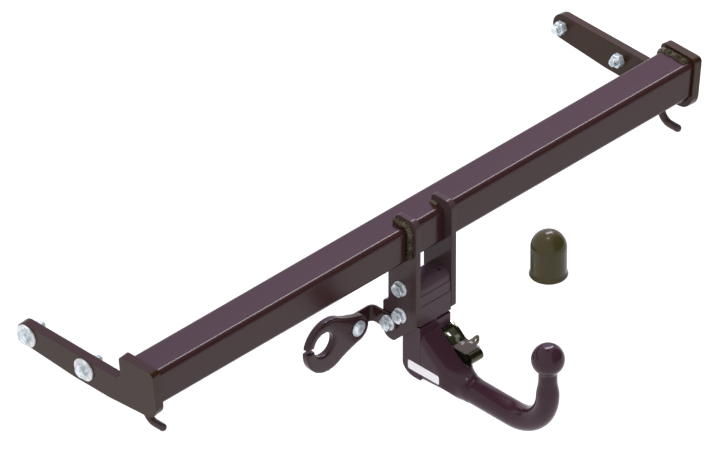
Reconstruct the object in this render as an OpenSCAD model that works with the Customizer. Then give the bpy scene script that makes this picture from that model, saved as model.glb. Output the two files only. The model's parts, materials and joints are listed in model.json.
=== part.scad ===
// Detachable towbar: a square cross beam between two bolted side arms, a bracket
// with a receiver, and a ball neck that drops out of the receiver.
// +X is the car's right, -Y points back to the trailer, +Z is up.
// Sizes below are read from the beam's front face (y) and top face (z).

/* [Beam] */
// Width and height of the square tube
beam_size = 60; // [50:1:70]
// Wall of the tube
beam_wall = 4; // [3:0.5:6]
// Outer corner radius of the tube
beam_corner_r = 8.5; // [7:0.5:10]
// Distance between the outer faces of the end plates at the beam's top
span = 1124.8; // [900:1:1300]

/* [End plates] */
// Thickness of the end plates
plate_t = 15; // [8:1:18]
// Outward lean of the end plates, in degrees
plate_lean = 6.3; // [0:0.1:9]
// How far the plate stands in front of the beam
plate_front = 4; // [1:0.5:10]
// How far the plate's hump stands behind the beam
hump_over = 6; // [2:1:16]
// Height of the hump above the beam's top
hump_rise = 6.4; // [3:0.2:12]
// Depth of the arm's upper edge below the beam's top
arm_top = 41; // [36:1:46]
// Height of the arm at the end bolt
arm_h = 39; // [36:1:46]
// Height of the arm at its deepest
arm_deep = 47; // [44:1:56]

/* [Chassis bolts] */
// Distance from the beam's front face to the inner bolt
bolt_inner_y = 143; // [120:1:160]
// Distance between the two bolts of an arm
bolt_spacing = 118; // [90:1:140]
// Depth of the bolts below the arm's upper edge
bolt_edge = 20; // [18:0.5:22]
// Outer diameter of the wide washers
wide_washer_d = 37; // [30:1:38]
// Thickness of the wide washers
wide_washer_t = 3; // [2:0.5:4]
// Length of the chassis bolts under the head
chassis_bolt_len = 35; // [33:1:60]

/* [Fasteners] */
// Thread diameter of every bolt
bolt_d = 12; // [10:1:14]
// Clearance on the diameter of a bolt hole
hole_play = 1; // [0.4:0.1:2]
// Width across the flats of bolt heads and nuts
bolt_af = 19; // [17:1:22]
// Height of a bolt head
head_h = 7.5; // [6:0.5:9]
// Height of a nut
nut_h = 10; // [8:0.5:12]
// Diameter of the plain washers
washer_d = 24; // [22:1:26]
// Thickness of the plain washers
washer_t = 2.5; // [1.5:0.5:3]

/* [Hanger rods] */
// Diameter of the exhaust hanger rods
rod_d = 12; // [8:1:14]
// Distance of a rod from the end plate's outer face at the beam's top
rod_inset = 34.4; // [32:0.2:160]
// Distance of a rod's upright from the beam's front face
rod_y = 44.5; // [30:0.5:45]
// Drop of the rod's level leg below the beam's underside
rod_drop = 50; // [35:1:70]
// Radius of the rod's bend on its centre line
rod_bend_r = 19; // [10:1:22]
// Length of the level leg from the upright to the tip
rod_reach = 39; // [30:1:60]

/* [Bracket] */
// Thickness of the two bracket plates
bracket_t = 10; // [6:1:12]
// Clear width between the two bracket plates
bracket_gap = 62.8; // [60:0.4:70]
// How far the bracket stands in front of the beam
bracket_front = 15.7; // [12:0.5:20]
// Distance of the bracket's rear edge from the beam's front face
bracket_back = 41.4; // [36:0.5:46]
// Depth of the bracket's front corner below the lower screws
bracket_below = 7.5; // [6:0.5:11]
// Height of the lip over the beam
lip_rise = 15; // [14:0.5:18]
// Length of the lip along the beam's top
lip_reach = 26; // [16:1:30]
// Leg of the weld fillets
weld_leg = 4.5; // [3:0.5:6]

/* [Receiver] */
// Depth of the receiver's top below the beam's top
receiver_top = 102.5; // [94:0.5:105]
// Height of the receiver
receiver_h = 69.5; // [69:0.5:72]
// Distance of the receiver's rear face from the beam's front face
receiver_back = 25; // [23:0.5:28]
// How far the receiver stands in front of the beam
receiver_front = 15; // [14:0.5:17]
// Distance of the screws from the beam's front face
screw_y = 15.3; // [14:0.1:16]
// Distance of the upper screws from the receiver's top
screw_from_top = 10.5; // [9.5:0.5:14]
// Distance of the lower screws from the receiver's underside
screw_from_low = 11.5; // [11:0.5:15]
// Length of the receiver screws under the head
screw_len = 25; // [20:1:27]

/* [Neck] */
// Width of the neck's head
neck_w = 62; // [58:1:62]
// Gap between the receiver and the neck's head
neck_gap = 4; // [3:0.5:6]
// Height of the neck's head
neck_h = 91.5; // [88:0.5:96]
// Distance of the head's front face in front of the beam
neck_front = 14.4; // [13.5:0.1:16]
// Distance of the head's rear face behind the beam's front face
neck_back = 24.2; // [22:0.2:24.2]
// Radius of the head's rear lower corner
neck_heel_r = 25; // [15:1:32]
// Diameter of the spigot that enters the receiver
spigot_d = 30; // [28:0.5:30]
// Distance of the spigot's axis behind the beam's front face
spigot_y = 5; // [4:0.2:6]
// Length of the spigot above the head
spigot_len = 64; // [62:1:66]
// Clearance on the spigot's radius
spigot_play = 0.08; // [0.02:0.01:0.1]

/* [Ball bar] */
// Diameter of the ball
ball_d = 50; // [49:0.5:51]
// Diameter of the bar
bar_d = 39.4; // [36:0.2:42]
// Height of the bar's axis above the head's underside
bar_up = 7.5; // [4:0.5:11]
// Distance of the ball in front of the beam
ball_reach = 242.8; // [220:1:280]
// Height of the ball's centre above the bar's axis
ball_rise = 130.8; // [122:0.2:150]
// Radius of the bar's bend on its centre line
bend_r = 67.8; // [55:1:75]
// Diameter of the neck under the ball
neck_d = 28.2; // [26:0.2:30]
// Diameter of the neck where the bend ends
flare_d = 35; // [32:0.5:37]
// Length of the root that blends the head into the bar
root_len = 75; // [66:1:84]
// Rise of the root's top at the head above the bar's top
root_rise = 52; // [40:1:56]
// How far the root's end stands proud of the bar
collar_rise = 0.9; // [0.3:0.1:1.5]

/* [Ball cap] */
// Wall of the cap
cap_wall = 1.5; // [1:0.1:2.5]
// Gap between the cap and the ball
cap_play = 0.3; // [0.2:0.1:0.6]
// Distance from the dome's centre to the cap's rim
cap_skirt = 47.3; // [40:0.5:50]
// How far the rim flares out
cap_flare = 1.9; // [1:0.1:3]
// Height of the flare
cap_flare_h = 10; // [6:0.5:14]
// Height at which the cap is held above the ball
cap_lift = 198.3; // [80:1:220]

/* [Lock] */
// Distance of the lever's axis in front of the beam
lever_y = 9; // [8.6:0.1:9.4]
// Depth of the lever's axis below the head's top
lever_below = 31.5; // [30:0.5:34]
// Diameter of the lever's shaft
shaft_d = 8; // [7:0.5:8.5]
// Left side of the lever, from the centre plane
lever_x = 9; // [8:0.5:12]
// Width of the lever
lever_w = 29; // [26:1:34]
// Thickness of the lever's sheet metal
sheet_t = 2.5; // [1.5:0.1:3]
// Radius of the lever's hub
hub_r = 10; // [9:0.5:10.5]
// Reach of the lever from its axis to the end of the panel
lever_reach = 58.6; // [50:1:64]
// Radius of the lever's rolled grip
grip_r = 10; // [8:0.5:11]
// Travel of the lever, in degrees
lever_travel = 30; // [24:1:32]
// Distance from the lever's axis to the centre of the finger's tip
finger_len = 14; // [13.6:0.1:14.4]
// Thickness of the finger
finger_t = 3.6; // [3:0.1:3.6]
// Diameter of a lock ball
lock_ball_d = 11; // [10:0.2:11.4]
// Height of the lock balls above the head's top
lock_ball_up = 36; // [32:0.5:38]
// How far each lock ball moves out
lock_ball_travel = 2.5; // [2:0.1:2.8]
// Diameter of the plunger's bore
plunger_bore_d = 12.8; // [12.4:0.1:13.2]
// Diameter of the hole in the cable eye
eye_d = 5.8; // [4:0.2:8]

/* [Socket holder] */
// Thickness of the strap
strap_t = 5; // [3:0.5:6]
// Height of the strap
strap_h = 29; // [26:1:32]
// Inner radius of the strap's bend
strap_bend_r = 6; // [4:0.5:9]
// Distance of the strap bolt behind the receiver screws
strap_behind = 19.6; // [19:0.2:22]
// Depth of the strap bolt and the pivot below the lower screws
strap_below = 20; // [19:0.5:24]
// Distance of the strap's outer leg behind the beam's front face
strap_back = 69; // [66:0.5:76]
// Distance of the pivot from the left bracket plate
pivot_out = 46.6; // [42:0.2:60]
// Distance from the pivot to the centre of the holder's round plate
holder_len = 58.7; // [54:0.1:70]
// Depth of the round plate's centre below the pivot
holder_sink = 2.3; // [0:0.1:6]
// Radius of the holder's round plate
holder_r = 44; // [42:0.5:48]
// Thickness of the holder
holder_t = 13; // [9:0.5:15]
// Diameter of the socket hole
socket_d = 40; // [36:0.5:44]
// Distance of the socket hole from the round plate's centre, away from the pivot
socket_out = 9.5; // [0:0.1:10]
// Height of the socket hole above the round plate's centre
socket_up = 6.3; // [0:0.1:8]
// Radius of the holder's boss round the pivot
boss_r = 22.5; // [20:0.5:25]
// Depth of the boss's centre below the pivot
boss_sink = 3; // [0:0.5:5]
// Width of the slot that opens the socket hole
slot_w = 5.5; // [4.5:0.5:10]

/* [Hidden] */
$fn = 64;

// Far enough to cut clean through whatever it meets
far = 3000;
// Air between faces that pass each other
gap = 0.3;
// Air between a bolt and its threaded hole
thread_play = 0.05;
half_span = span/2;
rod_x = half_span - rod_inset;
hump_back = beam_size + hump_over;
arm_tip_low = arm_top + arm_h;
arm_low = arm_top + arm_deep;
bolt_drop = arm_top + bolt_edge;
hole_r = (bolt_d + hole_play)/2;
bolt_outer_y = bolt_inner_y + bolt_spacing;
// The origin is the middle of the four chassis bolts, on the car's centre plane
origin_y = bolt_inner_y + bolt_spacing/2;
origin_z = bolt_drop*cos(plate_lean);
arm_end = bolt_outer_y + arm_h/2;
bracket_x = bracket_gap/2;
receiver_low = receiver_top + receiver_h;
screw_high = receiver_top + screw_from_top;
screw_low = receiver_low - screw_from_low;
bracket_low = screw_low + bracket_below;
neck_top = receiver_low + neck_gap;
neck_low = neck_top + neck_h;
bar_drop = neck_low - bar_up;
ball_drop = bar_drop - ball_rise;
lever_drop = neck_top + lever_below;
lock_ball_drop = neck_top - lock_ball_up;
ball_r = ball_d/2;
bar_r = bar_d/2;
cap_r = ball_r + cap_play;
cap_z = cap_lift - ball_drop;
spigot_r = spigot_d/2;
spigot_top = neck_top - spigot_len;
plunger_bore_r = plunger_bore_d/2;
plunger_r = plunger_bore_r - 0.1;
// At rest the lock balls lie inside the spigot
lock_ball_r = lock_ball_d/2;
lock_ball_x = spigot_r - lock_ball_r - 0.2;
// The finger swings evenly about level, so the plunger moves by this much
plunger_travel = 2*finger_len*sin(lever_travel/2);
cone_slope = lock_ball_travel/plunger_travel;
// Radius of the plunger at the balls' height, with 0.1 mm to the balls
waist_r = lock_ball_x - (lock_ball_r + 0.1)*sqrt(1 + cone_slope*cone_slope);
finger_tip_r = 3.5;
// Air beside the lever and round its hub
lever_air = 1;
hub_air = 2.5;
finger_w = 4;
finger_tip_z = -lever_drop + finger_len*sin(lever_travel/2);
spring_top = spigot_top + 4;
plunger_head = lock_ball_drop - 16;
strap_x = bracket_x + bracket_t;
strap_bolt_y = screw_y + strap_behind;
strap_drop = screw_low + strap_below;
pivot_x = strap_x + pivot_out;
holder_back = strap_back - gap;
holder_front = holder_back - holder_t;

// Points of an arc that rounds the corner p between the points a and b
function corner(a, p, b, r, n = 8) =
    let(u = (a - p)/norm(a - p), v = (b - p)/norm(b - p), half = acos(u*v)/2,
        c = p + (u + v)/norm(u + v)*r/sin(half), s = p + u*r/tan(half) - c,
        turn = (u[0]*v[1] - u[1]*v[0] > 0 ? -1 : 1)*(180 - 2*half))
    [for (i = [0:n]) let(t = turn*i/n)
        c + [s[0]*cos(t) - s[1]*sin(t), s[0]*sin(t) + s[1]*cos(t)]];

// Outline through points [x, y, r], each corner rounded by its own radius
function rounded(pts) =
    let(n = len(pts))
    [for (i = [0:n - 1])
        let(a = pts[(i + n - 1)%n], p = pts[i], b = pts[(i + 1)%n])
        each (p[2] == 0 ? [[p[0], p[1]]]
            : corner([a[0], a[1]], [p[0], p[1]], [b[0], b[1]], p[2]))];

// Smooth step from 0 at a to 1 at b
function ease(a, b, t) = let(s = max(0, min(1, (t - a)/(b - a)))) s*s*(3 - 2*s);

function power(v, p) = v < 0 ? -pow(-v, p) : pow(v, p);

// Places everything that is measured from the beam in the part's own frame
module place() translate([0, -origin_y, origin_z]) children();

// Repeats its children on the left, mirrored
module both_sides() {
    children();
    mirror([1, 0, 0]) children();
}

// Stands a (y, z) outline in the YZ plane and gives it the thickness t towards +X
module plate_yz(t) rotate([90, 0, 90]) linear_extrude(t) children();

// Stands an (x, z) outline in the XZ plane and gives it the thickness t towards +Y
module plate_xz(t) translate([0, t, 0]) rotate([90, 0, 0]) linear_extrude(t) children();

// A cylinder from the origin towards +X
module rod_x(d, l) rotate([0, 90, 0]) cylinder(d = d, h = l);

// The frame of the right end plate: x is 0 on its outer face, z runs along the plate
module on_plate() translate([half_span, 0, 0]) rotate([0, plate_lean, 0]) children();

// Hexagon head towards +X with its rim chamfered, seated on x = 0
module hex_head(af, h) intersection() {
    rotate([0, 90, 0]) rotate([0, 0, 30]) cylinder(d = af/cos(30), h = h, $fn = 6);
    rotate([0, 90, 0]) union() {
        cylinder(d = af*1.2, h = h*0.8);
        translate([0, 0, h*0.8]) cylinder(d1 = af*1.2, d2 = af*0.95, h = h*0.2);
    }
}

// Bolt with its head towards +X and its shank towards -X, seated on x = 0
module hex_bolt(l) {
    hex_head(bolt_af, head_h);
    translate([-l, 0, 0]) rod_x(bolt_d, l + 1);
    translate([-l - 1, 0, 0]) rotate([0, 90, 0]) cylinder(d1 = bolt_d - 2, d2 = bolt_d, h = 1);
}

module hex_nut() difference() {
    hex_head(bolt_af, nut_h);
    translate([-1, 0, 0]) rod_x(bolt_d + 2*thread_play, nut_h + 2);
}

module washer(d, t) difference() {
    rod_x(d, t);
    translate([-1, 0, 0]) rod_x(bolt_d + hole_play, t + 2);
}

// Outer section of the beam, in y and z
module beam_outline(inset = 0) {
    s = beam_size - inset;
    r = beam_corner_r - inset;
    polygon(rounded([[inset, -inset, r], [s, -inset, r], [s, -s, r], [inset, -s, r]]));
}

// The beam as a solid bar, for cutting the welds to it
module beam_bar() translate([-far/2, 0, 0]) plate_yz(far) beam_outline();

// Everything outside the inner face of the right end plate
module beyond_plate(t = 0) on_plate() translate([-plate_t - t, -far/2, -far/2]) cube(far);

module cross_beam() color([0.29, 0.24, 0.27]) place() difference() {
    translate([-half_span, 0, 0]) plate_yz(span) difference() {
        beam_outline();
        beam_outline(beam_wall);
    }
    both_sides() beyond_plate();
}

module end_plate_outline() {
    tip_r = arm_h/2 - 0.2;
    belly_r = 60;
    // The lower edge is level between these two places and rises on either side
    belly_back = bolt_inner_y + 25;
    belly_front = bolt_inner_y - 48;
    chin_rise = 8;
    polygon(rounded([
        [-plate_front, hump_rise, 8], [hump_back, hump_rise, 9],
        [hump_back, -arm_top, 10], [arm_end, -arm_top, tip_r],
        [arm_end, -arm_tip_low, tip_r], [belly_back, -arm_low, belly_r],
        [belly_front, -arm_low, belly_r], [-plate_front, -arm_low + chin_rise, 24]]));
}

module end_plate_solid() on_plate() difference() {
    translate([-plate_t, 0, 0]) plate_yz(plate_t) end_plate_outline();
    for (y = [bolt_inner_y, bolt_outer_y])
        translate([-plate_t - 1, y, -bolt_drop]) rod_x(2*hole_r, plate_t + 2);
}

module end_plate_right() color([0.30, 0.27, 0.27]) place() end_plate_solid();

module end_plate_left() color([0.30, 0.27, 0.27]) place() mirror([1, 0, 0]) end_plate_solid();

// A round bar along Y at the end plate, which the beam and the plate cut to a fillet
module weld_bar(y, z, l) on_plate() translate([-plate_t, y, z]) rotate([-90, 0, 0])
    cylinder(r = weld_leg, h = l);

module end_weld_solid() difference() {
    flat = beam_size - 2*beam_corner_r;
    union() {
        weld_bar(beam_corner_r, 0, flat);
        weld_bar(beam_corner_r, -beam_size/cos(plate_lean), flat);
        on_plate() translate([-plate_t, beam_size, -beam_size + beam_corner_r])
            cylinder(r = weld_leg, h = flat);
    }
    beam_bar();
    beyond_plate();
}

module end_welds() color([0.40, 0.36, 0.38]) place() both_sides() end_weld_solid();

// The rod hangs from the beam's underside and turns towards -Y
module hanger_rod_solid() translate([rod_x, rod_y, -beam_size]) {
    upright = rod_drop - rod_bend_r;
    translate([0, 0, -upright]) cylinder(d = rod_d, h = upright);
    translate([0, -rod_bend_r, -upright]) rotate([0, 90, 0])
        rotate_extrude(angle = 90) translate([rod_bend_r, 0]) circle(d = rod_d);
    translate([0, -rod_bend_r, -rod_drop]) rotate([90, 0, 0])
        cylinder(d = rod_d, h = rod_reach - rod_bend_r - rod_d/2);
    translate([0, -rod_reach + rod_d/2, -rod_drop]) sphere(d = rod_d);
}

module hanger_rod_right() color([0.29, 0.24, 0.27]) place() hanger_rod_solid();

module hanger_rod_left() color([0.29, 0.24, 0.27]) place() mirror([1, 0, 0]) hanger_rod_solid();

module rod_welds() color([0.40, 0.36, 0.38]) place() both_sides()
    translate([rod_x, rod_y, -beam_size]) rotate_extrude()
        polygon([[rod_d/2, 0], [rod_d/2 + 2.5, 0], [rod_d/2, -2.5]]);

// Bracket outline in y and z: a lip over the beam, the pocket for it and the tail
module bracket_outline(tail) polygon(concat(rounded(concat([
    [-bracket_front, lip_rise, 13], [lip_reach, lip_rise, 5], [lip_reach, 0, 0],
    [0, 0, beam_corner_r], [0, -beam_size, beam_corner_r], [bracket_back, -beam_size, 0]],
    tail))));

module bracket_holes() for (z = [screw_high, screw_low])
    translate([0, screw_y, -z]) rod_x(2*hole_r, bracket_t + 2);

module bracket_plate_right() color([0.28, 0.23, 0.25]) place() difference() {
    // The tail keeps clear of the lower washer
    tail_low = screw_low + washer_d/2 + 4;
    translate([bracket_x, 0, 0]) plate_yz(bracket_t) bracket_outline([
        [bracket_back, -tail_low, 12], [bracket_back/4, -tail_low, 10],
        [-bracket_front, -bracket_low, 5]]);
    translate([bracket_x - 1, 0, 0]) bracket_holes();
}

// The left plate has a lobe that carries the strap of the socket holder
module bracket_plate_left() color([0.28, 0.23, 0.25]) place() difference() {
    lobe_back = strap_bolt_y + strap_h/2 + 2.5;
    lobe_low = strap_drop + strap_h/2 + 18.5;
    lobe_top = strap_drop - strap_h/2 - 15.5;
    translate([-strap_x, 0, 0]) plate_yz(bracket_t) bracket_outline([
        [bracket_back, -lobe_top + 6, 4], [lobe_back, -lobe_top, 6],
        [lobe_back, -lobe_low, 15], [lobe_low - bracket_low - bracket_front, -lobe_low, 8],
        [-bracket_front, -bracket_low, 3]]);
    translate([-strap_x - 1, 0, 0]) {
        bracket_holes();
        translate([0, strap_bolt_y, -strap_drop]) rod_x(2*hole_r, bracket_t + 2);
    }
}

// Fillets along the outer side of each bracket plate, over the beam's front and top
module bracket_weld_solid() difference() {
    translate([strap_x, 0, 0]) {
        translate([0, 0, -beam_size + beam_corner_r])
            cylinder(r = weld_leg, h = beam_size - 2*beam_corner_r);
        translate([0, beam_corner_r, 0]) rotate([-90, 0, 0])
            cylinder(r = weld_leg, h = lip_reach - beam_corner_r);
        translate([0, beam_corner_r, -beam_corner_r]) rotate([0, 90, 0]) rotate([0, 0, 180])
            rotate_extrude(angle = 90) translate([beam_corner_r, 0]) circle(r = weld_leg);
    }
    beam_bar();
    translate([strap_x - 2*weld_leg, -far/2, -far/2]) cube([2*weld_leg, far, far]);
}

module bracket_welds() color([0.40, 0.36, 0.38]) place() both_sides() bracket_weld_solid();

module receiver_housing() color([0.27, 0.23, 0.25]) place() difference() {
    step = 1;
    upper = receiver_top + 18.5;
    lower = receiver_top + 36.5;
    translate([-bracket_x, 0, 0]) plate_yz(bracket_gap) polygon(rounded([
        [receiver_back, -receiver_top, 3], [receiver_back, -receiver_low, 1],
        [-receiver_front, -receiver_low, 1], [-receiver_front, -lower, 0],
        [-receiver_front + step, -lower, 0], [-receiver_front + step, -upper, 0],
        [-receiver_front + 2*step, -upper, 0], [-receiver_front + 2*step, -receiver_top, 12]]));
    // Socket for the spigot, closed at the top
    translate([0, spigot_y, -receiver_low - 1])
        cylinder(r = spigot_r + spigot_play, h = receiver_low + 1 - spigot_top + 1.5);
    // Pockets for the lock balls
    reach = lock_ball_x + lock_ball_r + lock_ball_travel + 0.6;
    translate([-reach, spigot_y, -lock_ball_drop]) rod_x(lock_ball_d + 0.6, 2*reach);
    // Threaded holes for the receiver screws
    for (z = [screw_high, screw_low]) both_sides()
        translate([bracket_x - 16, screw_y, -z]) rod_x(bolt_d + 2*thread_play, 17);
    // Key slot in the top
    translate([bracket_x - 12, -4, -receiver_top - 3]) cube([3, 10, 4]);
}

module at_screws() for (z = [screw_high, screw_low])
    translate([strap_x + washer_t, screw_y, -z]) children();

module receiver_screws() color([0.75, 0.80, 0.84]) place() both_sides() at_screws()
    hex_bolt(screw_len);

module receiver_washers() color([0.80, 0.84, 0.88]) place() both_sides() at_screws()
    translate([-washer_t, 0, 0]) washer(washer_d, washer_t);

// Turns a bolt of the left side so that its head points to -X
module at_strap_bolt() translate([-strap_x, strap_bolt_y, -strap_drop]) mirror([1, 0, 0])
    children();

module strap_bolt() color([0.75, 0.80, 0.84]) place() at_strap_bolt()
    translate([strap_t + washer_t, 0, 0]) hex_bolt(strap_t + washer_t + bracket_t + nut_h + 1);

module strap_washer() color([0.80, 0.84, 0.88]) place() at_strap_bolt()
    translate([strap_t, 0, 0]) washer(washer_d, washer_t);

module strap_nut() color([0.75, 0.80, 0.84]) place() at_strap_bolt()
    translate([-bracket_t, 0, 0]) mirror([1, 0, 0]) rotate([30, 0, 0]) hex_nut();

// One leg lies on the bracket's lobe, the other stands square to it behind the holder
module socket_strap() color([0.28, 0.24, 0.26]) place() difference() {
    bend_x = -strap_x - strap_t - strap_bend_r;
    bend_y = strap_back - strap_bend_r;
    round_r = strap_h/2;
    union() {
        translate([-strap_x - strap_t, 0, 0]) {
            translate([0, strap_bolt_y, -strap_drop]) rod_x(strap_h, strap_t);
            translate([0, strap_bolt_y, -strap_drop - round_r])
                cube([strap_t, bend_y - strap_bolt_y, strap_h]);
        }
        translate([bend_x, bend_y, -strap_drop - round_r]) rotate_extrude(angle = 90)
            translate([strap_bend_r, 0]) square([strap_t, strap_h]);
        translate([-pivot_x, strap_back, -strap_drop - round_r])
            cube([pivot_x + bend_x, strap_t, strap_h]);
        translate([-pivot_x, strap_back, -strap_drop]) rotate([-90, 0, 0])
            cylinder(d = strap_h, h = strap_t);
    }
    translate([-strap_x - strap_t - 1, strap_bolt_y, -strap_drop])
        rod_x(2*hole_r, strap_t + 2);
    translate([-pivot_x, strap_back - 1, -strap_drop]) rotate([-90, 0, 0])
        cylinder(r = hole_r, h = strap_t + 2);
}

// Places the pivot's pieces: z runs along the pivot towards -Y
module at_pivot(y) translate([-pivot_x, y, -strap_drop]) rotate([90, 0, 0]) children();

// Shoulder bolt with a flat domed head; the holder turns on its shank
module pivot_bolt() color([0.78, 0.82, 0.86]) place() {
    seat = holder_front - gap;
    end_y = strap_back + strap_t + nut_h + 1;
    at_pivot(end_y) cylinder(d = bolt_d, h = end_y - seat + 1);
    at_pivot(seat) {
        cylinder(d = washer_d + 1, h = 2);
        translate([0, 0, 2]) cylinder(d1 = bolt_af, d2 = bolt_af - 5, h = 4);
    }
}

module pivot_nut() color([0.75, 0.80, 0.84]) place()
    translate([-pivot_x, strap_back + strap_t, -strap_drop]) rotate([0, 0, 90]) hex_nut();

// The holder's outline in x and z from the pivot: boss, web and round plate
module holder_solid() difference() {
    plate = [-holder_len, -holder_sink];
    hole = plate + [-socket_out, socket_up];
    plate_xz(holder_t) union() {
        translate([0, -boss_sink]) circle(r = boss_r);
        translate(plate) circle(r = holder_r);
        polygon(holder_web([0, -boss_sink], plate));
    }
    translate([0, -1, 0]) rotate([-90, 0, 0]) cylinder(d = bolt_d + 0.1, h = holder_t + 2);
    translate([hole[0], -1, hole[1]]) {
        rotate([-90, 0, 0]) cylinder(d = socket_d, h = holder_t + 2);
        translate([-2*holder_r, 0, -slot_w/2]) cube([2*holder_r, holder_t + 2, slot_w]);
    }
}

// Web between the boss and the round plate, drawn in a little above and below
function holder_web(boss, plate) =
    let(d = norm(plate - boss), a = atan2(plate[1] - boss[1], plate[0] - boss[0]),
        b = acos((boss_r - holder_r)/d), high = [cos(a - b), sin(a - b)],
        low = [cos(a + b), sin(a + b)], sag = 2, steps = [0:0.1:1])
    concat(
        [for (t = steps) (1 - t)*(boss + boss_r*high) + t*(plate + holder_r*high)
            - sag*sin(180*t)*high],
        [for (t = steps) (1 - t)*(plate + holder_r*low) + t*(boss + boss_r*low)
            - sag*sin(180*t)*low],
        [boss]);

module socket_holder() color([0.25, 0.22, 0.24]) place()
    translate([-pivot_x, holder_front, -strap_drop]) holder_solid();

// Places a piece at each bolt of the right arm, square to the plate
module at_chassis_bolts() on_plate() for (y = [bolt_inner_y, bolt_outer_y])
    translate([0, y, -bolt_drop]) children();

module chassis_bolts() color([0.75, 0.80, 0.84]) place() both_sides() at_chassis_bolts()
    translate([wide_washer_t, 0, 0]) hex_bolt(chassis_bolt_len);

module chassis_washers() color([0.80, 0.84, 0.88]) place() both_sides() at_chassis_bolts()
    washer(wide_washer_d, wide_washer_t);

module chassis_nuts() color([0.75, 0.80, 0.84]) place() both_sides() at_chassis_bolts()
    translate([-plate_t, 0, 0]) mirror([1, 0, 0]) hex_nut();

// Round recess in the head and the root, in which the lever's hub turns
module lever_recess() translate([lever_x - lever_air, -lever_y, -lever_drop])
    rod_x(2*(hub_r + hub_air), far);

// Head of the neck: a forged block with the spigot and the bores of the lock
module neck_head() color([0.30, 0.25, 0.28]) place() difference() {
    union() {
        intersection() {
            translate([-neck_w/2, 0, 0]) plate_yz(neck_w) polygon(rounded([
                [-neck_front, -neck_top, 1.5], [neck_back, -neck_top, 1.5],
                [neck_back, -neck_low, neck_heel_r], [-neck_front, -neck_low, 0]]));
            translate([0, 0, -neck_low - 1]) linear_extrude(neck_low) polygon(rounded([
                [-neck_w/2, -neck_front, 0], [neck_w/2, -neck_front, 0],
                [neck_w/2, neck_back, 4], [-neck_w/2, neck_back, 4]]));
        }
        translate([0, spigot_y, -neck_top - 1]) {
            cylinder(r = spigot_r, h = spigot_len + 1 - 2);
            translate([0, 0, spigot_len - 1])
                cylinder(r1 = spigot_r, r2 = spigot_r - 2, h = 2);
            cylinder(r = spigot_r + 3.5, h = neck_top + 1 - receiver_low - gap);
        }
    }
    // Bore of the plunger, closed at the top and the bottom
    translate([0, spigot_y, -lever_drop - 11])
        cylinder(r = plunger_bore_r, h = lever_drop + 11 - spring_top);
    // Windows of the lock balls
    translate([-spigot_r - 1, spigot_y, -lock_ball_drop]) rod_x(lock_ball_d + 0.2, 2*spigot_r + 2);
    // Bore of the lever's shaft and room for its finger
    translate([-finger_w/2 - 4, -lever_y, -lever_drop]) rod_x(shaft_d + 0.1, far);
    translate([-finger_w/2 - 0.5, -lever_y - 4.2, -lever_drop - 9])
        cube([finger_w + 1, lever_y + spigot_y, 18]);
    lever_recess();
}

// The root at a distance s from the head: its half width, top and underside. Its flat
// sides run on from the head, and its top falls in a hollow curve to the bar's collar.
collar_r = bar_r + collar_rise;
side_end = 0.5*root_len;
waist_end = 0.85*root_len;
function root_left(s) = max(0, 1 - s/root_len);
function root_half(s) = neck_w/2 + (collar_r - neck_w/2)*ease(side_end, waist_end, s);
function root_top(s) = -bar_drop + collar_r + (root_rise - collar_rise)*pow(root_left(s), 1.3);
function root_low(s) = -neck_low
    + (neck_low - bar_drop - collar_r)*ease(side_end, waist_end, s);
// Exponent of the section: 2 is round, more is squarer
function root_square(s) = 2 + 7*pow(root_left(s), 1.3);

// Stations [y, z, turn, half width, half height, exponent] along the bar
bend_end = -bar_drop + bend_r;
root_steps = 18;
// Length of the round collar past the root
collar_len = 6;
stations = concat(
    [for (i = [0:root_steps]) let(s = root_len*i/root_steps)
        [-neck_front - s, (root_top(s) + root_low(s))/2, 0, root_half(s),
            (root_top(s) - root_low(s))/2, root_square(s)]],
    [[-neck_front - root_len - collar_len, -bar_drop, 0, collar_r, collar_r, 2]],
    [[-neck_front - root_len - collar_len - 2*collar_rise, -bar_drop, 0, bar_r, bar_r, 2]],
    [for (i = [0:12]) let(t = 90*i/12, r = bar_r + (flare_d/2 - bar_r)*ease(0, 90, t))
        [-ball_reach + bend_r - bend_r*sin(t), -bar_drop + bend_r - bend_r*cos(t),
            t, r, r, 2]],
    [for (t = [0.2:0.2:1]) let(r = flare_d/2 + (neck_d - flare_d)/2*ease(0, 1, t))
        [-ball_reach, bend_end + 26*t, 90, r, r, 2]],
    [[-ball_reach, -ball_drop - ball_r*0.6, 90, neck_d/2, neck_d/2, 2]]);

sides = 40;

function ring(s) = [for (i = [0:sides - 1])
    let(a = 360*i/sides, b = s[4]*power(sin(a), 2/s[5]))
    [s[3]*power(cos(a), 2/s[5]), s[0] + b*sin(s[2]), s[1] + b*cos(s[2])]];

module bar_sweep() {
    n = len(stations);
    polyhedron(
        points = [for (s = stations) each ring(s)],
        faces = concat(
            [[for (i = [0:sides - 1]) i]],
            [for (k = [0:n - 2], i = [0:sides - 1]) let(j = (i + 1)%sides)
                each [[k*sides + i, (k + 1)*sides + i, (k + 1)*sides + j],
                    [k*sides + i, (k + 1)*sides + j, k*sides + j]]],
            [[for (i = [sides - 1:-1:0]) (n - 1)*sides + i]]));
}

// Bar with its root, bend and ball, forged in one
module ball_bar() color([0.30, 0.24, 0.27]) place() difference() {
    union() {
        bar_sweep();
        translate([0, -ball_reach, -ball_drop]) sphere(r = ball_r);
    }
    translate([0, -ball_reach, -ball_drop + ball_r - 1]) cylinder(r = ball_r, h = 2);
    lever_recess();
    // Room for the lever's cheeks beside the root
    floor_z = grip_z - grip_r - lever_air;
    toe_y = grip_y - grip_r - lever_air;
    on_lever() translate([lever_x - lever_air, 0, 0]) plate_yz(far) polygon(rounded([
        [hub_r + hub_air, lever_below, 0], [toe_y, lever_below, 0], [toe_y, floor_z, 8],
        [grip_y + 6, floor_z, 8], [-27, -16, 12], [-13, -hub_r - hub_air, 8],
        [hub_r + hub_air, -hub_r - hub_air, 0]]));
}

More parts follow.
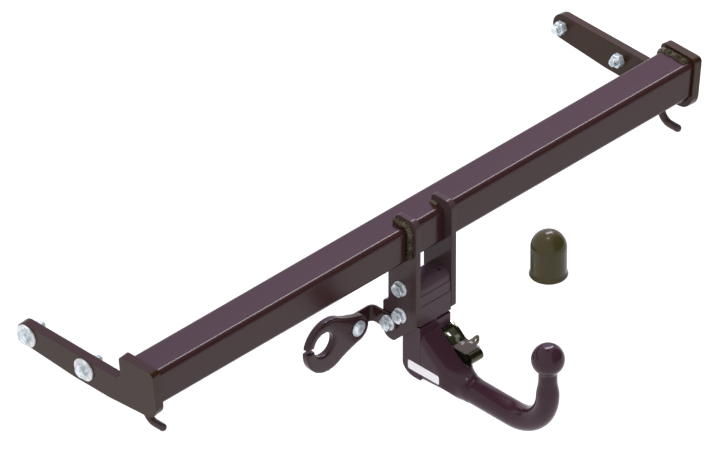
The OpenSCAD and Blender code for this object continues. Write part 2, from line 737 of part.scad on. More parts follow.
// Plunger: the finger moves it, and its cone drives the lock balls out
module lock_plunger() color([0.62, 0.62, 0.60]) place() translate([0, spigot_y, 0])
    difference() {
        rotate_extrude() polygon([
            [0, -plunger_head], [plunger_r, -plunger_head],
            [plunger_r, -lock_ball_drop + (plunger_r - waist_r)/cone_slope],
            [waist_r, -lock_ball_drop], [waist_r, -lock_ball_drop - lock_ball_r - 2],
            [plunger_r, -lock_ball_drop - lock_ball_r - 5],
            [plunger_r, finger_tip_z - 6.5], [0, finger_tip_z - 6.5]]);
        translate([-finger_w/2 - 0.2, -far/2, finger_tip_z - finger_tip_r - 0.1])
            cube([finger_w + 0.4, far, 2*finger_tip_r + 0.2]);
    }

// Coil spring above the plunger
module lock_spring() color([0.55, 0.55, 0.55]) place() translate([0, spigot_y, 0]) {
    wire = 0.6;
    coil_r = plunger_bore_r - wire - 0.4;
    low = -plunger_head + wire + 0.05;
    high = -spring_top - wire - 0.05;
    turns = 3.5;
    steps = 42;
    edges = 6;
    pts = [for (k = [0:steps]) let(a = 360*turns*k/steps, z = low + (high - low)*k/steps)
        each [for (i = [0:edges - 1]) let(r = coil_r + wire*cos(60*i))
            [r*cos(a), r*sin(a), z + wire*sin(60*i)]]];
    polyhedron(points = pts, faces = concat(
        [[for (i = [edges - 1:-1:0]) i]],
        [for (k = [0:steps - 1], i = [0:edges - 1]) let(j = (i + 1)%edges)
            each [[k*edges + i, (k + 1)*edges + j, (k + 1)*edges + i],
                [k*edges + i, k*edges + j, (k + 1)*edges + j]]],
        [[for (i = [0:edges - 1]) steps*edges + i]]));
}

module lock_ball() translate([lock_ball_x, spigot_y, -lock_ball_drop]) sphere(r = lock_ball_r);

module lock_ball_right() color([0.70, 0.70, 0.70]) place() lock_ball();

module lock_ball_left() color([0.70, 0.70, 0.70]) place() mirror([1, 0, 0]) lock_ball();

// The frame of the lever's axis
module on_lever() translate([0, -lever_y, -lever_drop]) children();

// Shaft with the finger that moves the plunger and a round head outside the lever
module lever_shaft() color([0.60, 0.62, 0.60]) place() on_lever() {
    end_x = lever_x + lever_w;
    translate([-finger_w/2 - 3, 0, 0]) rod_x(shaft_d, end_x + finger_w/2 + 4);
    translate([end_x, 0, 0]) rod_x(shaft_d + 7, 3);
    rotate([lever_travel/2, 0, 0]) {
        translate([-finger_w/2, 0, -finger_t/2]) cube([finger_w, finger_len, finger_t]);
        translate([-finger_w/2, finger_len, 0]) rod_x(2*finger_tip_r, finger_w);
    }
}

// Top line of the lever's panel and the centre of its rolled grip, from the axis
panel_z = -6.5;
grip_y = -lever_reach;
grip_z = panel_z - grip_r;

// Side cheek of the lever: hub, arm and the lower edge that follows the root
module cheek_outline() polygon(rounded([
    [4, hub_r - 1, 5], [-16, hub_r - 4, 8], [-31, panel_z - 0.2, 10],
    [grip_y, panel_z - 0.2, 0], [grip_y - 2, grip_z, 0], [grip_y + 4, grip_z - grip_r + 1, 3],
    [-26, -14, 12], [-13, -9.6, 8], [-2, -9.6, 5], [8.6, -4, 5], [8.6, 5, 3]]));

// Section of the lever's sheet: over the hub, down to the panel and round the grip
function sheet_line(inset) = concat(
    [for (a = [78:12:150]) (hub_r - inset)*[cos(a), sin(a)]],
    [[-20, -inset], [-31, panel_z - inset], [grip_y, panel_z - inset]],
    [for (a = [105:15:255]) [grip_y, grip_z] + (grip_r - inset)*[cos(a), sin(a)]]);

function backwards(pts) = [for (i = [len(pts) - 1:-1:0]) pts[i]];

// Formed sheet-metal lever: two cheeks, a top strip, a rolled grip and a cable eye
module lock_lever() color([0.55, 0.56, 0.50]) place() on_lever() difference() {
    right = lever_x + lever_w;
    union() {
        for (x = [lever_x, right - sheet_t])
            translate([x, 0, 0]) plate_yz(sheet_t) cheek_outline();
        translate([lever_x + sheet_t, 0, 0]) plate_yz(lever_w - 2*sheet_t)
            polygon(concat(sheet_line(0), backwards(sheet_line(sheet_t))));
        // Cable eye
        translate([right - sheet_t, -36, 0]) plate_xz(sheet_t) difference() {
            polygon(rounded([[0.5, -10, 0], [24.5, -8, 4], [24.5, -26, 5], [0.5, -16, 0]]));
            translate([18, -15.5]) circle(d = eye_d);
        }
    }
    rod_x(shaft_d, far);
    // Window in the strip
    translate([lever_x + 8, -18, -6]) cube([5, 8, 18]);
}

// Cap taken off the ball and held above it; its wall swells smoothly to the rim
module ball_cap() color([0.17, 0.17, 0.15]) place() translate([0, -ball_reach, cap_z])
    rotate_extrude() {
        outer_r = cap_r + cap_wall;
        rim_r = 1;
        polygon(concat(
            [for (i = [0:16]) let(a = 90*i/16) outer_r*[cos(90 - a), sin(90 - a)]],
            [for (i = [0:10]) let(t = i/10)
                [outer_r + cap_flare*ease(0, 1, t), -cap_skirt + cap_flare_h
                    + (rim_r - cap_flare_h)*t]],
            [[outer_r + cap_flare - rim_r, -cap_skirt], [cap_r + rim_r, -cap_skirt],
                [cap_r, -cap_skirt + 2*rim_r]],
            [for (i = [0:16]) let(a = 90*i/16) cap_r*[cos(a), sin(a)]]));
    }

cross_beam();
end_plate_left();
end_plate_right();
end_welds();
hanger_rod_left();
hanger_rod_right();
rod_welds();
bracket_plate_left();
bracket_plate_right();
bracket_welds();
receiver_housing();
receiver_screws();
receiver_washers();
strap_bolt();
strap_washer();
strap_nut();
socket_strap();
pivot_bolt();
pivot_nut();
chassis_bolts();
chassis_washers();
chassis_nuts();
neck_head();
ball_bar();
lock_plunger();
lock_spring();
lock_ball_left();
lock_ball_right();
lever_shaft();
lock_lever();
socket_holder();
ball_cap();
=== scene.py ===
"""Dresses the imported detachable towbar: finishes, weld beads, threads, label and studio."""

from __future__ import annotations

import json
import logging
import math
import random
from collections.abc import Callable, Iterator
from dataclasses import dataclass, field, replace
from enum import Enum

import bmesh
import bpy
from mathutils import Matrix, Vector
from mathutils.bvhtree import BVHTree

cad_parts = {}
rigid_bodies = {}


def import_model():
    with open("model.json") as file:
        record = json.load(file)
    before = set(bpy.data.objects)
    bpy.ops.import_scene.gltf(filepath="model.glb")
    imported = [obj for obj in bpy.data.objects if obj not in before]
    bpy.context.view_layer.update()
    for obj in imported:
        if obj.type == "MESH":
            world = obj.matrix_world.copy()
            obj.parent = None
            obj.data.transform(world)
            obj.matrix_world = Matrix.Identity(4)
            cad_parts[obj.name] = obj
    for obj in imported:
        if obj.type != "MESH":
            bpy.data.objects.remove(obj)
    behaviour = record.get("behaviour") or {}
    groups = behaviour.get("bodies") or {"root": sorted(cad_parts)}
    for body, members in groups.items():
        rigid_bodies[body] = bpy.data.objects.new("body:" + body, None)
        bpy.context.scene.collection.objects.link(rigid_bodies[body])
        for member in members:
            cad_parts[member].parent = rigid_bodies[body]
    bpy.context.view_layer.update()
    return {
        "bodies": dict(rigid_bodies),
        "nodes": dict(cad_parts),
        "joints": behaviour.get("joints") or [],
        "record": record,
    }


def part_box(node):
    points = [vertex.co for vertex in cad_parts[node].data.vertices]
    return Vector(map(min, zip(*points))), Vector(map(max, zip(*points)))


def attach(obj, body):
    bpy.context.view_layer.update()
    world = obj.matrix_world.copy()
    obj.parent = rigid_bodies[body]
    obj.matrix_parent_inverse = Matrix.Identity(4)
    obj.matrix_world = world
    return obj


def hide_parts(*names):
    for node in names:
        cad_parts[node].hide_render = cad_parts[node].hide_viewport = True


LOG = logging.getLogger("towbar")
MM = 0.001
ON_CUT = 1e-7  # a point this near to a cut, in metres, lies on it

Triple = tuple[float, float, float]
Rgba = tuple[float, float, float, float]
Pair = tuple[float, float]


class Side(Enum):
    """The two sides of the car, as the sign of X."""

    LEFT = -1
    RIGHT = 1


@dataclass(frozen=True)
class BeamFrame:
    """Turns sizes read from the beam's front top edge into places in the row frame."""

    front_y: float
    top_z: float
    side_mm: float = 60.0
    corner_mm: float = 8.5

    @classmethod
    def from_model(cls) -> BeamFrame:
        """Read the beam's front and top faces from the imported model."""
        low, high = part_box("cross_beam")
        return cls(front_y=low.y, top_z=high.z)

    def at(self, x: float, y: float, z: float) -> Vector:
        """Place a point.

        Args:
            x: Distance from the car's centre plane, in millimetres.
            y: Distance behind the beam's front face, in millimetres.
            z: Height above the beam's top face, in millimetres.

        Returns:
            The point in the row frame, in metres.
        """
        return Vector((x * MM, self.front_y + y * MM, self.top_z + z * MM))


def quarter(middle: Pair, start: Pair, end: Pair, radius: float) -> list[Pair]:
    """Return points along a quarter circle, without its first one.

    Args:
        middle: Its centre.
        start: Direction from the centre to its start.
        end: Direction from the centre to its end.
        radius: Its radius.

    Returns:
        The points, 15 degrees apart.
    """
    turns = [math.radians(turn) for turn in range(15, 91, 15)]
    return [(middle[0] + radius * (start[0] * math.cos(turn) + end[0] * math.sin(turn)),
             middle[1] + radius * (start[1] * math.cos(turn) + end[1] * math.sin(turn)))
            for turn in turns]


def place_mesh(bm: bmesh.types.BMesh, name: str) -> bpy.types.Object:
    """Put a bmesh in the scene as an object.

    Args:
        bm: The shape, in the row frame. It is freed.
        name: Name of the mesh and of the object.

    Returns:
        The new object.
    """
    mesh = bpy.data.meshes.new(name)
    bm.to_mesh(mesh)
    bm.free()
    made = bpy.data.objects.new(name, mesh)
    bpy.context.scene.collection.objects.link(made)
    return made


def new_material(name: str) -> tuple[bpy.types.Material, bpy.types.NodeTree, bpy.types.Node]:
    """Start a material.

    Args:
        name: Its name.

    Returns:
        The material, its node tree and its shader.
    """
    made = bpy.data.materials.new(name)
    made.use_nodes = True
    return made, made.node_tree, made.node_tree.nodes["Principled BSDF"]


def remap(tree: bpy.types.NodeTree, value: bpy.types.NodeSocket, source: Pair = (0.0, 1.0),
          target: Pair = (0.0, 1.0), kind: str = "LINEAR") -> bpy.types.NodeSocket:
    """Map a value from one range to another.

    Args:
        tree: Tree that the node goes into.
        value: The value.
        source: Range that it comes from.
        target: Range that it goes to.
        kind: How it goes from one end to the other.

    Returns:
        The mapped value.
    """
    node = tree.nodes.new("ShaderNodeMapRange")
    node.interpolation_type = kind
    for name, level in zip(("From Min", "From Max", "To Min", "To Max"), (*source, *target)):
        node.inputs[name].default_value = level
    tree.links.new(value, node.inputs["Value"])
    return node.outputs["Result"]


def blend(tree: bpy.types.NodeTree, share: bpy.types.NodeSocket, first: Rgba,
          second: Rgba) -> bpy.types.NodeSocket:
    """Blend two colours.

    Args:
        tree: Tree that the node goes into.
        share: Share of the second colour.
        first: The first colour.
        second: The second colour.

    Returns:
        The blended colour.
    """
    node = tree.nodes.new("ShaderNodeMix")
    node.data_type = "RGBA"
    node.inputs["A"].default_value = first
    node.inputs["B"].default_value = second
    tree.links.new(share, node.inputs["Factor"])
    return node.outputs["Result"]


def reckon(tree: bpy.types.NodeTree, operation: str, first: bpy.types.NodeSocket,
           second: bpy.types.NodeSocket | float) -> bpy.types.NodeSocket:
    """Reckon with two values.

    Args:
        tree: Tree that the node goes into.
        operation: What is done with them.
        first: The first value.
        second: The second value, from another node or as a number.

    Returns:
        The result.
    """
    node = tree.nodes.new("ShaderNodeMath")
    node.operation = operation
    tree.links.new(first, node.inputs[0])
    if isinstance(second, float):
        node.inputs[1].default_value = second
    else:
        tree.links.new(second, node.inputs[1])
    return node.outputs["Value"]


@dataclass(frozen=True)
class Finish:
    """A procedural finish on Object coordinates.

    Attributes:
        patch: Range of the mottle over which the colour goes over into the tint.
        grain_depth: Depth of the fine relief, in millimetres.
    """

    name: str
    slot: str
    colour: Triple
    tint: Triple
    roughness: float
    spread: float = 0.06
    metallic: float = 0.0
    mottle_scale: float = 40.0
    mottle_detail: float = 4.0
    grain_scale: float = 900.0
    grain_detail: float = 3.0
    grain_depth: float = 0.02
    grain_strength: float = 0.25
    specular: float = 0.5
    patch: Pair = (0.0, 1.0)

    def material(self) -> bpy.types.Material:
        """Build the finish once and return it.

        Returns:
            The node-based material.
        """
        found = bpy.data.materials.get(self.name)
        if found:
            return found
        made, tree, shader = new_material(self.name)
        shader.inputs["Metallic"].default_value = self.metallic
        shader.inputs["Specular IOR Level"].default_value = self.specular
        place = tree.nodes.new("ShaderNodeTexCoord").outputs["Object"]
        mottle = self._noise(tree, place, self.mottle_scale, self.mottle_detail)
        colour = blend(tree, remap(tree, mottle, self.patch), (*self.colour, 1.0),
                       (*self.tint, 1.0))
        rough = remap(tree, mottle, target=(self.roughness - self.spread,
                                            self.roughness + self.spread))
        tree.links.new(colour, shader.inputs["Base Color"])
        tree.links.new(rough, shader.inputs["Roughness"])
        bump = tree.nodes.new("ShaderNodeBump")
        bump.inputs["Strength"].default_value = self.grain_strength
        bump.inputs["Distance"].default_value = self.grain_depth * MM
        tree.links.new(self._relief(tree, place), bump.inputs["Height"])
        tree.links.new(bump.outputs["Normal"], shader.inputs["Normal"])
        return made

    def _noise(self, tree: bpy.types.NodeTree, place: bpy.types.NodeSocket, scale: float,
               detail: float) -> bpy.types.NodeSocket:
        """Add a noise texture.

        Args:
            tree: Tree that the node goes into.
            place: Coordinates that it reads.
            scale: Its scale.
            detail: Its detail.

        Returns:
            Its value.
        """
        noise = tree.nodes.new("ShaderNodeTexNoise")
        noise.inputs["Scale"].default_value = scale
        noise.inputs["Detail"].default_value = detail
        tree.links.new(place, noise.inputs["Vector"])
        return noise.outputs["Fac"]

    def _relief(self, tree: bpy.types.NodeTree,
                place: bpy.types.NodeSocket) -> bpy.types.NodeSocket:
        """Return the height of the surface's grain."""
        return self._noise(tree, place, self.grain_scale, self.grain_detail)


@dataclass(frozen=True)
class PlatedFinish(Finish):
    """Zinc plating, with a faint relief of crystals."""

    crystal_scale: float = 260.0
    grain_strength: float = 0.15

    def _relief(self, tree: bpy.types.NodeTree,
                place: bpy.types.NodeSocket) -> bpy.types.NodeSocket:
        """Add the crystals.

        Args:
            tree: Tree that the node goes into.
            place: Coordinates that it reads.

        Returns:
            The height of the crystals.
        """
        crystals = tree.nodes.new("ShaderNodeTexVoronoi")
        crystals.inputs["Scale"].default_value = self.crystal_scale
        tree.links.new(place, crystals.inputs["Vector"])
        return crystals.outputs["Distance"]


PAINT = Finish("stoved_paint", "dark_paint", (0.035, 0.0135, 0.0135), (0.030, 0.0115, 0.0120),
               roughness=0.18, spread=0.03, mottle_scale=18.0, grain_scale=700.0, specular=0.235)
PLATE_PAINT = replace(PAINT, name="plate_paint", colour=(0.029, 0.0120, 0.0040),
                      tint=(0.025, 0.0100, 0.0035))
# Painted light: a lighter, less glossy copy of the beam's paint. It lifts the plates' faces
# where they stand in shade and mirror the dark beam and beads.
BRACKET_PAINT_WITH_PAINTED_LIGHT = replace(PAINT, name="bracket_paint_painted_light", colour=(0.054, 0.033, 0.034),
                        tint=(0.047, 0.029, 0.031), roughness=0.20, specular=0.15)
# Painted light: a still lighter copy of the bracket paint. It lifts the shade on the receiver,
# which lies between the plates under the beam.
RECEIVER_PAINT_WITH_PAINTED_LIGHT = replace(BRACKET_PAINT_WITH_PAINTED_LIGHT, name="receiver_paint_painted_light", colour=(0.060, 0.038, 0.046),
                         tint=(0.052, 0.033, 0.041), roughness=0.22)
ROD_PAINT = Finish("rod_paint", "dark_paint", (0.058, 0.036, 0.034), (0.048, 0.030, 0.028),
                   roughness=0.32, mottle_scale=40.0, grain_scale=700.0, specular=0.3)
NECK_PAINT = Finish("forging_paint", "neck_paint", (0.042, 0.017, 0.026), (0.034, 0.013, 0.021),
                    roughness=0.15, spread=0.03, mottle_scale=25.0, grain_scale=420.0,
                    grain_depth=0.05, specular=0.24)
WELD_PAINT = Finish("painted_weld", "dark_paint", (0.012, 0.009, 0.006), (0.105, 0.088, 0.050),
                    roughness=0.42, mottle_scale=420.0, grain_scale=1500.0, grain_depth=0.25,
                    specular=0.3, patch=(0.38, 0.60))
ZINC = PlatedFinish("zinc_plating", "zinc_plate", (0.44, 0.52, 0.55), (0.84, 0.92, 0.95),
                    roughness=0.16, metallic=0.5, mottle_scale=150.0, patch=(0.40, 0.60))
WASHER_ZINC = PlatedFinish("washer_plating", "zinc_plate", (0.58, 0.61, 0.60),
                           (0.86, 0.89, 0.89), roughness=0.30, metallic=0.25,
                           mottle_scale=140.0, patch=(0.40, 0.60))
# The lever's plating is dark olive metal. Its pale silver tint, which shows at the peaks of the
# mottle, is painted highlight: scattered silver glints laid into the colour.
LEVER_PLATING_PAINTED_GLINTS = PlatedFinish("lever_plating_painted_glints", "lever_zinc", (0.070, 0.070, 0.038),
                          (0.50, 0.53, 0.40), roughness=0.16, spread=0.04, metallic=0.9,
                          mottle_scale=70.0, crystal_scale=300.0, patch=(0.60, 0.70))
STEEL = Finish("ground_steel", "bright_steel", (0.50, 0.50, 0.50), (0.58, 0.58, 0.57),
               roughness=0.25, metallic=1.0, mottle_scale=90.0)
CAP_POLYMER = Finish("cap_moulding", "cap_polymer", (0.044, 0.037, 0.009), (0.034, 0.028, 0.007),
                     roughness=0.20, spread=0.03, mottle_scale=30.0, grain_scale=1600.0,
                     specular=0.28)
HOLDER_POLYMER = Finish("holder_coating", "holder_polymer", (0.034, 0.011, 0.014),
                        (0.026, 0.009, 0.011), roughness=0.20, mottle_scale=60.0,
                        grain_scale=600.0, grain_depth=0.04, specular=0.30)
LABEL_FILM = Finish("label_film", "neck_paint", (0.90, 0.90, 0.91), (0.87, 0.87, 0.89),
                    roughness=0.38, mottle_scale=60.0, grain_scale=2200.0)


def set_facing(mesh: bpy.types.Mesh, angle: float) -> None:
    """Shade a mesh smooth, with its edges sharp past an angle in degrees."""
    mesh.shade_smooth()
    mesh.set_sharp_from_angle(angle=math.radians(angle))


def finish_piece(bm: bmesh.types.BMesh, name: str, body: str, finish: Finish,
                 sharp: float = 35.0) -> bpy.types.Object:
    """Turn a bmesh into a piece of the towbar.

    Args:
        bm: The finished shape, in the row frame. It is freed.
        name: Name of the new piece.
        body: Name of the body that it rides on.
        finish: Its finish.
        sharp: Angle past which an edge stays sharp, in degrees.

    Returns:
        The new object.
    """
    piece = place_mesh(bm, name)
    set_facing(piece.data, sharp)
    piece.data.materials.append(finish.material())
    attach(piece, body)
    LOG.info("made %s on %s", name, body)
    return piece


@dataclass(frozen=True)
class Softening:
    """How the edges of a node are broken: those that turn by more than the angle."""

    radius_mm: float
    segments: int = 2
    angle: float = 32.0


@dataclass
class Dresser:
    """Lets a dressed copy stand in for each node of the model.

    Attributes:
        owner: Body that each node belongs to.
        merge_m: Points nearer than this are one, in metres.
        flat_deg: Faces that turn by less than this are one, in degrees.
        sliver_m: Edges shorter than this are taken out, in metres.
        forged_sharp: Angle past which an edge of an evened copy stays sharp, in degrees.
        ease: How far a point goes towards its neighbours each time it is evened out.
    """

    frame: dict
    owner: dict[str, str] = field(default_factory=dict)
    merge_m: float = 2e-6
    flat_deg: float = 0.8
    sliver_m: float = 1e-6
    forged_sharp: float = 70.0
    ease: float = 0.5

    def __post_init__(self) -> None:
        """Note which body each node belongs to."""
        for body, nodes in self.frame["record"]["behaviour"]["bodies"].items():
            self.owner.update({node: body for node in nodes})

    def merged(self, node: str) -> bmesh.types.BMesh:
        """Copy a node's mesh with its doubles merged and its flat faces joined.

        Args:
            node: Name of the node.

        Returns:
            The merged copy.
        """
        bm = bmesh.new()
        bm.from_mesh(self.frame["nodes"][node].data)
        bmesh.ops.remove_doubles(bm, verts=bm.verts, dist=self.merge_m)
        bmesh.ops.dissolve_limit(bm, angle_limit=math.radians(self.flat_deg), verts=bm.verts,
                                 edges=bm.edges)
        return bm

    def dress(self, node: str, finish: Finish, soft: Softening,
              first: Callable[[bmesh.types.BMesh], None] | None = None,
              last: Callable[[bmesh.types.BMesh], None] | None = None) -> bpy.types.Object:
        """Replace a node by a copy with softened edges.

        Args:
            node: Name of the node.
            finish: Finish of the copy.
            soft: How its edges are broken.
            first: Work on the copy before its edges are broken.
            last: Work on the copy after its edges are broken.

        Returns:
            The new piece.
        """
        bm = self.merged(node)
        if first:
            first(bm)
        limit = math.radians(soft.angle)
        edges = [e for e in bm.edges if len(e.link_faces) == 2 and e.calc_face_angle(0) > limit]
        bmesh.ops.bevel(bm, geom=edges, offset=soft.radius_mm * MM, segments=soft.segments,
                        affect="EDGES", profile=0.5, material=-1, clamp_overlap=True)
        bmesh.ops.dissolve_degenerate(bm, dist=self.sliver_m, edges=bm.edges)
        if last:
            last(bm)
        piece = finish_piece(bm, f"{node}_skin", self.owner[node], finish)
        even = piece.modifiers.new("even_normals", "WEIGHTED_NORMAL")
        even.keep_sharp = True
        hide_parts(node)
        return piece

    def even(self, node: str, finish: Finish, voxel_mm: float, passes: int,
             front_of: float | None = None, crown: bool = False) -> bpy.types.Object:
        """Replace a node by a copy whose corners run into each other, as in a forging.

        Args:
            node: Name of the node.
            finish: Finish of the copy.
            voxel_mm: Spacing of the copy's points, in millimetres.
            passes: How often the points are evened out.
            front_of: Only points in front of this y, in metres, are moved.
            crown: Whether points move along Y alone, so that the outline stays.

        Returns:
            The new piece.
        """
        blank = place_mesh(self.merged(node), f"{node}_raw")
        raw = blank.data
        remesh = blank.modifiers.new("remesh", "REMESH")
        remesh.mode = "VOXEL"
        remesh.voxel_size = voxel_mm * MM
        bpy.context.view_layer.update()
        bm = bmesh.new()
        bm.from_mesh(blank.evaluated_get(bpy.context.evaluated_depsgraph_get()).data)
        bpy.data.objects.remove(blank)
        bpy.data.meshes.remove(raw)
        free = [v for v in bm.verts if front_of is None or v.co.y < front_of]
        for _ in range(passes):
            bmesh.ops.smooth_vert(bm, verts=free, factor=self.ease, use_axis_x=not crown,
                                  use_axis_y=True, use_axis_z=not crown)
        piece = finish_piece(bm, f"{node}_skin", self.owner[node], finish,
                             sharp=self.forged_sharp)
        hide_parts(node)
        return piece

    def recolour(self, node: str, finish: Finish) -> None:
        """Give a node that stays its finish.

        Args:
            node: Name of the node.
            finish: The finish.
        """
        kept = self.frame["nodes"][node]
        kept.data.materials.clear()
        kept.data.materials.append(finish.material())


@dataclass
class Weld:
    """A rippled weld bead laid along a path.

    Attributes:
        spatter_mm: How far each point may stray.
        rings: Rings in a ripple.
        end_size: Size of the first and last ring, as a share of the radius.
        swell: How much a ripple grows, as a share of the radius.
        jitter: How much a ring's size may stray, as a share of the radius.
    """

    radius_mm: float
    ripple_mm: float = 3.0
    spatter_mm: float = 0.42
    seed: int = 7
    sides: int = 14
    rings: int = 4
    end_size: float = 0.35
    swell: float = 0.16
    jitter: float = 0.1
    sharp: float = 80.0

    def along(self, points: list[Vector], name: str, body: str) -> bpy.types.Object:
        """Lay a bead through points.

        Args:
            points: Points of the path, in metres.
            name: Name of the bead.
            body: Body that it rides on.

        Returns:
            The bead.
        """
        path = self._resample(points)
        rng = random.Random(self.seed)
        bm = bmesh.new()
        ring = bmesh.ops.create_circle(bm, segments=self.sides,
                                       radius=self.radius_mm * MM)["verts"]
        previous = self._stand(path[0], path[1] - path[0], self.end_size)
        bmesh.ops.transform(bm, verts=ring, matrix=previous)
        edges = list(bm.edges)
        bmesh.ops.contextual_create(bm, geom=edges)
        strayed: list[tuple[bmesh.types.BMVert, Vector]] = []
        last = len(path) - 1
        for i in range(1, len(path)):
            ripple = self.swell * math.sin(math.tau * (i % self.rings) / self.rings)
            size = 1.0 + ripple + rng.uniform(-self.jitter, self.jitter)
            pose = self._stand(path[i], path[min(i + 1, last)] - path[i - 1],
                               (self.end_size if i == last else 1.0) * size)
            grown = bmesh.ops.extrude_edge_only(bm, edges=edges)["geom"]
            ring = [g for g in grown if isinstance(g, bmesh.types.BMVert)]
            edges = [g for g in grown if isinstance(g, bmesh.types.BMEdge)
                     and all(v in ring for v in g.verts)]
            bmesh.ops.transform(bm, verts=ring, matrix=pose @ previous.inverted())
            flat = pose.inverted()
            ring.sort(key=lambda v: self._turn(flat @ v.co))
            strayed += [(v, v.co + self._spatter(rng)) for v in ring]
            previous = pose
        bmesh.ops.contextual_create(bm, geom=edges)
        # The rings grow from round ones, so the points stray only once all are in place.
        for vert, place in strayed:
            vert.co = place
        bmesh.ops.recalc_face_normals(bm, faces=bm.faces)
        return finish_piece(bm, name, body, WELD_PAINT, sharp=self.sharp)

    def _spatter(self, rng: random.Random) -> Vector:
        """Return the way that a point strays, in metres."""
        return Vector([rng.uniform(-1, 1) for _ in range(3)]) * self.spatter_mm * MM

    def _resample(self, points: list[Vector]) -> list[Vector]:
        """Divide a path into steps from ring to ring.

        Args:
            points: Points of the path, in metres.

        Returns:
            The places of the rings.
        """
        step = self.ripple_mm * MM / self.rings
        path = [points[0]]
        for a, b in zip(points, points[1:]):
            count = max(1, round((b - a).length / step))
            path += [a.lerp(b, k / count) for k in range(1, count + 1)]
        return path

    @staticmethod
    def _turn(point: Vector) -> float:
        """Return a point's angle round its ring, so that a ring's order is the same each run."""
        return round(math.atan2(point.y, point.x) % math.tau, 3)

    def _stand(self, place: Vector, ahead: Vector, size: float) -> Matrix:
        """Return the matrix that stands a flat ring square to the path."""
        turn = Vector((0, 0, 1)).rotation_difference(ahead).to_matrix().to_4x4()
        return Matrix.Translation(place) @ turn @ Matrix.Scale(size, 4)


@dataclass
class CrossBeam:
    """The square tube with its end plates, arms, hanger rods and end welds.

    Attributes:
        plate_lean: Lean of the end plates, in degrees.
        half_span: From the centre plane to a plate's outer face at the beam's top.
        plate_t: Thickness of the plates.
        bead_sink: How far the end beads lie below the beam's surface.
        bead_sizes: Radius of each side's bead, and its distance from the plate.
    """

    beam: BeamFrame
    dresser: Dresser
    plate_lean: float = 6.3
    half_span: float = 562.4
    plate_t: float = 15.0
    bead_sink: float = 1.6
    bead_sizes: dict[Side, Pair] = field(
        default_factory=lambda: {Side.LEFT: (3.6, 1.0), Side.RIGHT: (6.4, 4.2)})

    def build(self) -> None:
        """Dress the beam and lay its welds."""
        self.dresser.dress("cross_beam", PAINT, Softening(0.3))
        for side in ("left", "right"):
            self.dresser.dress(f"end_plate_{side}", PLATE_PAINT, Softening(1.1, 3))
            self.dresser.dress(f"hanger_rod_{side}", ROD_PAINT, Softening(0.5))
        self.dresser.recolour("rod_welds", WELD_PAINT)
        beads = [self._end_bead(side) for side in Side]
        # One call is enough for the pair, since the node goes as a whole.
        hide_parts("end_welds")

    def _inner_face(self, side: Side, z: float) -> float:
        """Return x of the end plate's inner face at a height."""
        lean = math.radians(self.plate_lean)
        return side.value * (self.half_span + z * math.tan(lean) - self.plate_t / math.cos(lean))

    def _end_bead(self, side: Side) -> bpy.types.Object:
        """Lay the bead round the top, rear and underside of the beam's end.

        Args:
            side: End of the beam.

        Returns:
            The bead.
        """
        s, c = self.beam.side_mm, self.beam.corner_mm
        outline = [(c, 0.0), (s - c, 0.0), *quarter((s - c, -c), (0, 1), (1, 0), c),
                   (s, -s + c), *quarter((s - c, -s + c), (1, 0), (0, -1), c), (c, -s)]
        radius, off = self.bead_sizes[side]
        points = [self.beam.at(self._inner_face(side, z) - side.value * off, y,
                               z - self.bead_sink) for y, z in outline]
        return Weld(radius).along(points, f"end_bead_{side.name.lower()}", "frame")


